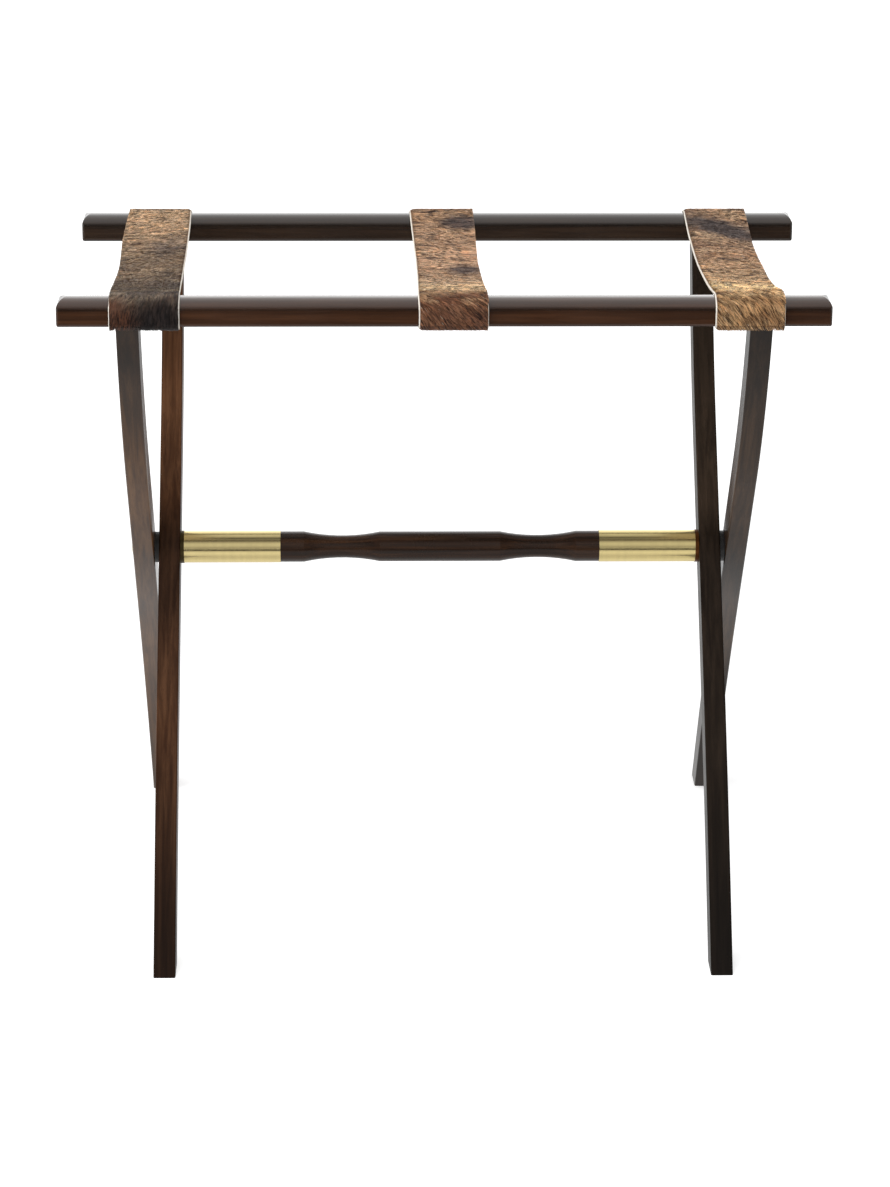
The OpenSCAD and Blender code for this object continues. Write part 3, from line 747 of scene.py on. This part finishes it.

# A strap's edges are given as (Y, X) in millimetres and its sag in millimetres at either edge.
# Its hair's lean in degrees, and length and lift in millimetres, are (share of the route, value).
# Its ground is the colour at shares of the route; on the left strap its paler stops at the crest are a
# painted highlight. Patches lie in the flat plane, in metres and degrees.
STRAPS = [
    {
        "name": "left", "node": "hide_strap_left", "seed": 5, "lean": math.radians(20),
        "dark_share": (0.16, 0.15, 0.15), "light_share": (2.4, 2.85, 3.2),
        "left": [(-161, -285.3), (-69, -286.9), (-2, -286.6), (76, -288.6), (119, -287.6), (156, -286.0)],
        "right": [
            (-174, -225.2), (-161, -225.2), (-98, -226.9), (-4, -228.2), (66, -228.3),
            (115, -228.4), (156, -229),
        ],
        "sag_left": 4, "sag_right": 0,
        "hair_lean": [(0, -8), (0.2, -12), (0.35, -34), (0.6, -56), (1, -62)],
        "hair_length": [(0, 6), (0.1, 7), (0.22, 6.5), (0.35, 5.5), (1, 6)],
        "hair_lift": [(0, 1.1), (0.12, 1.5), (0.25, 1.4), (0.35, 1.1), (1, 1.2)],
        "pale_share": 0.0,
        "ground": [
            # Painted highlight: the paler stops from 0.12 to 0.22 paint the light along the crest over the
            # front rail.
            (0.0, colour(42, 27, 19)), (0.085, colour(52, 37, 28)), (0.12, colour(97, 80, 67)),
            (0.155, colour(134, 114, 98)), (0.22, colour(108, 88, 75)), (0.32, colour(114, 92, 77)),
            (0.42, colour(130, 103, 82)), (0.58, colour(130, 104, 84)),
            (0.7, colour(190, 152, 119)), (0.82, colour(202, 163, 128)), (1.0, colour(166, 130, 100)),
        ],
        "drop_bands": 0.0, "band_light": 0.35, "band_dark": 0.3,
        "light": colour(206, 172, 136), "dark": colour(96, 76, 66),
        "root": colour(52, 38, 32), "pale": colour(224, 210, 190),
        "patches": [
            {"middle": (-0.022, 0.030), "half": (0.016, 0.022), "turn": 20, "strength": 0.7,
             "shade": colour(78, 42, 24)},
            {"middle": (0.014, 0.024), "half": (0.026, 0.022), "turn": 0, "strength": 0.85,
             "shade": colour(24, 19, 19)},
            {"middle": (0.016, 0.27), "half": (0.02, 0.028), "turn": -15, "strength": 0.5,
             "shade": colour(104, 86, 80)},
        ],
    },
    {
        "name": "middle", "node": "hide_strap_middle", "seed": 17, "lean": math.radians(-45),
        "dark_share": (0.18, 0.17, 0.17), "light_share": (2.2, 2.62, 2.95),
        "left": [
            (-174, -22.2), (-162, -23.0), (-49, -22.2), (14, -22.6), (66, -24.0), (114, -25.3), (156, -26.5),
        ],
        "right": [(-174, 37.2), (-162, 36.4), (-88, 34.6), (3, 32.8), (60, 33.0), (109, 33.0), (156, 32.3)],
        "sag_left": 0, "sag_right": 1,
        "hair_lean": [(0, 40), (0.25, 50), (0.5, 64), (1, 66)],
        "hair_length": [(0, 6), (0.1, 7), (0.22, 6.5), (0.35, 5.5), (1, 6)],
        "hair_lift": [(0, 1.1), (0.12, 1.6), (0.25, 1.4), (0.35, 1.1), (1, 1.2)],
        "pale_share": 0.002,
        "ground": [
            (0.0, colour(90, 48, 26)), (0.1, colour(104, 60, 36)), (0.145, colour(162, 124, 90)),
            (0.185, colour(214, 182, 144)), (0.25, colour(208, 176, 142)), (0.36, colour(172, 136, 108)),
            (0.5, colour(188, 148, 118)), (0.68, colour(182, 142, 112)), (0.8, colour(176, 136, 104)),
            (1.0, colour(140, 104, 78)),
        ],
        "drop_bands": 0.1, "band_light": 0.3, "band_dark": 0.32,
        "light": colour(216, 174, 134), "dark": colour(104, 78, 64),
        "root": colour(66, 42, 30), "pale": colour(236, 220, 198),
        "patches": [
            {"middle": (0.014, 0.332), "half": (0.022, 0.02), "turn": -8, "strength": 0.95,
             "shade": colour(80, 66, 62)},
            {"middle": (0.012, 0.178), "half": (0.017, 0.018), "turn": 10, "strength": 0.9,
             "shade": colour(86, 70, 65)},
            {"middle": (-0.012, 0.118), "half": (0.026, 0.007), "turn": 6, "strength": 0.5,
             "shade": colour(120, 96, 82)},
            {"middle": (0.004, 0.098), "half": (0.032, 0.013), "turn": -4, "strength": 0.3,
             "shade": colour(214, 178, 136)},
        ],
    },
    {
        "name": "right", "node": "hide_strap_right", "seed": 29, "lean": math.radians(-45),
        "dark_share": (0.16, 0.15, 0.14), "light_share": (2.25, 2.72, 3.05),
        "left": [
            (-174, 230.0), (-156, 230.3), (-106, 229.4), (-5, 228.9), (59, 228.8), (97, 228.6), (145, 229.2),
        ],
        "right": [
            (-174, 289.4), (-162, 289.2), (-108, 286.8), (0, 287.4), (66, 285.7), (86, 285.9), (156, 285.9),
        ],
        "sag_left": 0, "sag_right": 4,
        "hair_lean": [(0, 32), (0.25, 42), (0.5, 62), (1, 66)],
        "hair_length": [(0, 6.5), (0.1, 8), (0.22, 7), (0.35, 5.5), (1, 6)],
        "hair_lift": [(0, 1.3), (0.12, 2.2), (0.25, 1.8), (0.35, 1.2), (1, 1.2)],
        "pale_share": 0.002,
        "ground": [
            (0.0, colour(128, 86, 50)), (0.1, colour(150, 106, 66)), (0.15, colour(204, 164, 120)),
            (0.22, colour(238, 204, 162)), (0.32, colour(204, 164, 127)), (0.44, colour(176, 136, 105)),
            (0.58, colour(170, 128, 100)), (0.7, colour(148, 112, 90)), (0.85, colour(152, 115, 91)),
            (1.0, colour(130, 98, 78)),
        ],
        "drop_bands": 0.25, "band_light": 0.3, "band_dark": 0.3,
        "light": colour(224, 186, 144), "dark": colour(122, 92, 72),
        "root": colour(84, 54, 34), "pale": colour(240, 226, 202),
        "patches": [
            {"middle": (0.0, 0.318), "half": (0.055, 0.02), "turn": -38, "strength": 0.95,
             "shade": colour(78, 66, 63)},
        ],
    },
]

for strap in STRAPS:
    strap["left_line"] = edge_line(strap["left"])
    strap["right_line"] = edge_line(strap["right"])
    strap["notches"] = []
    if strap["name"] != "middle":
        side = -1 if strap["name"] == "left" else 1
        for leg, start, end in (
            ("outer_leg_", -0.001, NOTCH), ("inner_leg_", ROUTE_LENGTH - NOTCH, ROUTE_LENGTH + 0.001),
        ):
            low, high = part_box(leg + strap["name"])
            mid = (low[0] + high[0]) / 2 / MM
            strap["notches"].append((mid - LEG_ROOM, mid + LEG_ROOM, start, end))
    strap["hair"] = hair_finish(strap)
    strap["hide"] = hide_finish(strap)
    hide = hide_strip(strap)
    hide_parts(strap["node"])
    coat = [combed_hair(strap, batch) for batch in (1, 2)]


# The rest of the rack's finishes

def finish_node(name, material):
    """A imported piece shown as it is, with its finish."""
    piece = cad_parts[name]
    piece.data.materials.clear()
    piece.data.materials.append(material)


# How each piece's grain is turned from X
LEG_LEAN = math.radians(31)
SIDEWAYS = (0, 0, 0)
UP_OUTER = (-LEG_LEAN, math.pi / 2, 0)
UP_INNER = (LEG_LEAN, math.pi / 2, 0)

# On the rails only the crown has a mirror coat, and a dark line of painted shade runs where it meets the
# side
CROWN_COAT = [(0.5892, 0.0), (0.5912, 1.0)]
CROWN_PAINTED_SHADE_LINE = [(0.5880, 1.0), (0.5896, 0.35), (0.5908, 0.35), (0.5925, 0.8)]
front_wood = lacquered_wood(
    "lacquered_wood_front_rail", SIDEWAYS, ((52, 31, 18), (61, 37, 22), (72, 45, 28)),
    (0.17, 0.25), 0.45, CROWN_COAT, CROWN_PAINTED_SHADE_LINE)
# Painted shade: the rear rail's stain is a darker copy of the front rail's.
shaded_rear_rail_wood = lacquered_wood(
    "lacquered_wood_painted_shade_rear_rail", SIDEWAYS, ((38, 27, 19), (45, 32, 23), (53, 39, 28)),
    (0.17, 0.25), 0.45, CROWN_COAT, CROWN_PAINTED_SHADE_LINE)
turned_wood = lacquered_wood(
    "lacquered_wood_stretcher", SIDEWAYS, ((28, 16, 8), (42, 24, 12), (58, 36, 20)),
    (0.22, 0.32), 0.22, 0.1)
# Painted light and shade: the left outer leg's stain is lighter as painted light, the right one's darker as
# painted shade, and both are darkened by height as painted shade.
outer_left_painted_light_wood = lacquered_wood(
    "lacquered_wood_painted_light_left_outer_leg", UP_OUTER, ((70, 46, 26), (92, 62, 36), (110, 78, 48)),
    (0.28, 0.36), 0.4,
    [(0.1, 0.25), (0.19, 0.7), (0.26, 1.0), (0.33, 0.35), (0.39, 0.34), (0.46, 0.28), (0.51, 0.22),
     (0.55, 0.0)],
    [(0.1, 0.75), (0.19, 1.0), (0.26, 0.8), (0.33, 0.75), (0.4, 1.0), (0.46, 0.7), (0.54, 0.22)])
outer_right_painted_shade_wood = lacquered_wood(
    "lacquered_wood_painted_shade_right_outer_leg", UP_OUTER, ((52, 35, 22), (68, 48, 31), (84, 61, 42)),
    (0.28, 0.36), 0.3,
    [(0.1, 0.0), (0.16, 0.08), (0.21, 0.5), (0.26, 0.75), (0.33, 0.12), (0.39, 0.19), (0.46, 0.2),
     (0.51, 0.17), (0.55, 0.03)],
    [(0.1, 0.3), (0.16, 0.4), (0.2, 1.0), (0.26, 0.6), (0.33, 0.5), (0.4, 0.95), (0.46, 0.7), (0.54, 0.3)])
# Painted light and shade: the left inner leg's stain is lighter as painted light, the right one's darker as
# painted shade, and both darken towards the feet and under the joint as painted shade.
inner_left_painted_light_wood = lacquered_wood(
    "lacquered_wood_painted_light_left_inner_leg", UP_INNER, ((64, 38, 22), (84, 54, 34), (102, 68, 45)),
    (0.3, 0.4), 0.1, 0.06,
    [(0.02, 0.17), (0.067, 0.25), (0.113, 0.42), (0.16, 0.6), (0.19, 0.78), (0.22, 0.68), (0.25, 0.6),
     (0.28, 0.36), (0.328, 0.3), (0.361, 0.65), (0.403, 0.75), (0.444, 1.0), (0.486, 0.85)])
inner_right_painted_shade_wood = lacquered_wood(
    "lacquered_wood_painted_shade_right_inner_leg", UP_INNER, ((46, 35, 27), (57, 45, 35), (68, 54, 43)),
    (0.3, 0.4), 0.1, 0.06,
    [(0.02, 0.18), (0.067, 0.21), (0.113, 0.3), (0.16, 0.45), (0.25, 0.44), (0.3, 0.38), (0.335, 0.42),
     (0.361, 0.95), (0.403, 0.72), (0.444, 0.62), (0.486, 0.46)])
satin_brass = turned_brass("satin_brass", (232, 212, 152), (232, 212, 150), (0.17, 0.22))
# Painted shade: the collars' brass is darkened, olive at the left and amber at the right, for the shadow at
# the ferrules' ends.
dark_brass = turned_brass("dark_brass", (84, 72, 46), (104, 64, 34), (0.32, 0.44))
black_plastic = moulded_plastic("black_plastic")
plain_steel = plated_steel("plain_steel")

finish_node("front_rail", front_wood)
finish_node("rear_rail", shaded_rear_rail_wood)
finish_node("stretcher", turned_wood)
finish_node("outer_leg_left", outer_left_painted_light_wood)
finish_node("outer_leg_right", outer_right_painted_shade_wood)
finish_node("inner_leg_left", inner_left_painted_light_wood)
finish_node("inner_leg_right", inner_right_painted_shade_wood)
for side in ("left", "right"):
    finish_node("ferrule_" + side, satin_brass)
    finish_node("pivot_bolt_" + side, satin_brass)
    finish_node("stretcher_collar_" + side, dark_brass)
    finish_node("pivot_spacer_" + side, black_plastic)
for name in ("rail_screws_front", "rail_screws_rear", "strap_tacks_front", "strap_tacks_rear"):
    finish_node(name, plain_steel)


# Studio

def seen_directly(tree, path):
    """1 for rays that the camera sees straight or through something, else 0."""
    return maths(tree, "MAXIMUM", path.outputs["Is Camera Ray"], path.outputs["Is Transmission Ray"])


def pale_floor():
    """A plain pale floor that keeps the rack's shadow.

    In reflections it is white near the rack and dims towards the front.
    """
    made = bmesh.new()
    bmesh.ops.create_grid(made, x_segments=4, y_segments=4, size=30)
    mesh = bpy.data.meshes.new("floor")
    made.to_mesh(mesh)
    made.free()
    floor = in_scene("floor", mesh)
    material = bpy.data.materials.new("pale_floor")
    material.use_nodes = True
    tree = material.node_tree
    tree.nodes.clear()
    path = node(tree, "LightPath")
    lit = node(tree, "BsdfDiffuse", {"Color": grey(0.8)})
    seen = seen_directly(tree, path)
    place = node(tree, "SeparateXYZ", {0: node(tree, "TexCoord").outputs["Object"]})
    paler = step_between(tree, place.outputs[1], 0.6, 2.4, 0.56, 0.95)
    added = node(tree, "Emission", {"Color": grey(1.0), "Strength": maths(tree, "MULTIPLY", seen, paler)})
    both = node(tree, "AddShader", {0: lit.outputs[0], 1: added.outputs[0]})
    sweep = ramp(tree, maths(tree, "MULTIPLY_ADD", place.outputs[1], 0.5, 1.0), [
        ((y + 2) / 2, grey(white)) for y, white in (
            (-1.8, 0.05), (-1.5, 0.12), (-1.1, 0.8), (-0.5, 0.95), (-0.18, 0.68), (-0.02, 0.8), (0.0, 0.9))])
    mirrored = node(tree, "Emission", {"Color": grey(1.0), "Strength": sweep})
    shown = node(tree, "MixShader", {
        0: path.outputs["Is Glossy Ray"], 1: both.outputs[0], 2: mirrored.outputs[0],
    })
    out = tree.nodes.new("ShaderNodeOutputMaterial")
    tree.links.new(shown.outputs[0], out.inputs["Surface"])
    mesh.materials.append(material)


BACKDROP = 1.6  # how bright the backdrop above the horizon is in reflections


def soft_world():
    """White where the camera sees it.

    Reflections see a pale backdrop, a dark gap overhead and a paler room in front. Their stops are in
    degrees, from the horizon behind the rack over its top to the horizon in front.
    """
    world = bpy.data.worlds.new("studio")
    bpy.context.scene.world = world
    world.use_nodes = True
    tree = world.node_tree
    tree.nodes.clear()
    way = node(tree, "SeparateXYZ", {0: node(tree, "TexCoord").outputs["Generated"]})
    turn = maths(tree, "DIVIDE", maths(tree, "ARCTAN2", way.outputs[2], way.outputs[1]), math.pi)
    bands = ramp(tree, turn, [(a / 180, grey(white / BACKDROP)) for a, white in (
        (0, 1.6), (26, 1.6), (36, 1.2), (48, 0.86), (62, 0.7), (84, 0.6), (92, 0.3), (97, 0.08), (106, 0.22),
        (126, 0.34), (142, 0.74), (158, 0.7), (168, 0.44), (178, 0.5))])
    bands = blended(tree, 1.0, bands, grey(BACKDROP), "MULTIPLY")
    aside = step_between(tree, maths(tree, "ABSOLUTE", way.outputs[0]), 0.14, 0.4)
    mirrored = blended(tree, maths(tree, "MULTIPLY", aside, 0.75), bands, grey(0.08))
    path = node(tree, "LightPath")
    shone = blended(tree, path.outputs["Is Glossy Ray"], grey(0.5), mirrored)
    seen = seen_directly(tree, path)
    both = blended(tree, seen, shone, grey(1.0))
    light = node(tree, "Background", {"Color": both, "Strength": 1.0})
    out = tree.nodes.new("ShaderNodeOutputWorld")
    tree.links.new(light.outputs[0], out.inputs["Surface"])


def soft_light(name, place, towards, width, height, watts):
    """A lamp that lights the rack and stays out of its reflections, which show the room."""
    lamp = bpy.data.lights.new(name, "AREA")
    lamp.shape = "RECTANGLE"
    lamp.size = width
    lamp.size_y = height
    lamp.energy = watts
    made = in_scene(name, lamp)
    made.location = place
    made.visible_glossy = False
    made.rotation_euler = (Vector(towards) - Vector(place)).to_track_quat("-Z", "Y").to_euler()


def photograph_camera():
    """The camera stands where the photograph's did. Its focal length and frame height are in pixels."""
    focal, frame_height, sensor = 3635.0, 1187, 36
    lens = bpy.data.cameras.new("camera")
    lens.sensor_width = sensor
    lens.lens = focal / frame_height * sensor
    lens.clip_end = 200
    camera = in_scene("camera", lens)
    camera.location = (-0.06787, -3.16231, 1.37457)
    camera.rotation_euler = Euler([math.radians(a) for a in (70.84828, -0.263182, -1.228494)])
    bpy.context.scene.camera = camera


pale_floor()
soft_world()
soft_light("window", (-2.4, -1.3, 1.5), (0, 0, 0.35), 2.2, 2.0, 46)
soft_light("ceiling", (-0.3, -0.9, 2.5), (0, 0, 0.3), 1.6, 1.4, 26)
photograph_camera()
bpy.context.scene.view_settings.view_transform = "Standard"
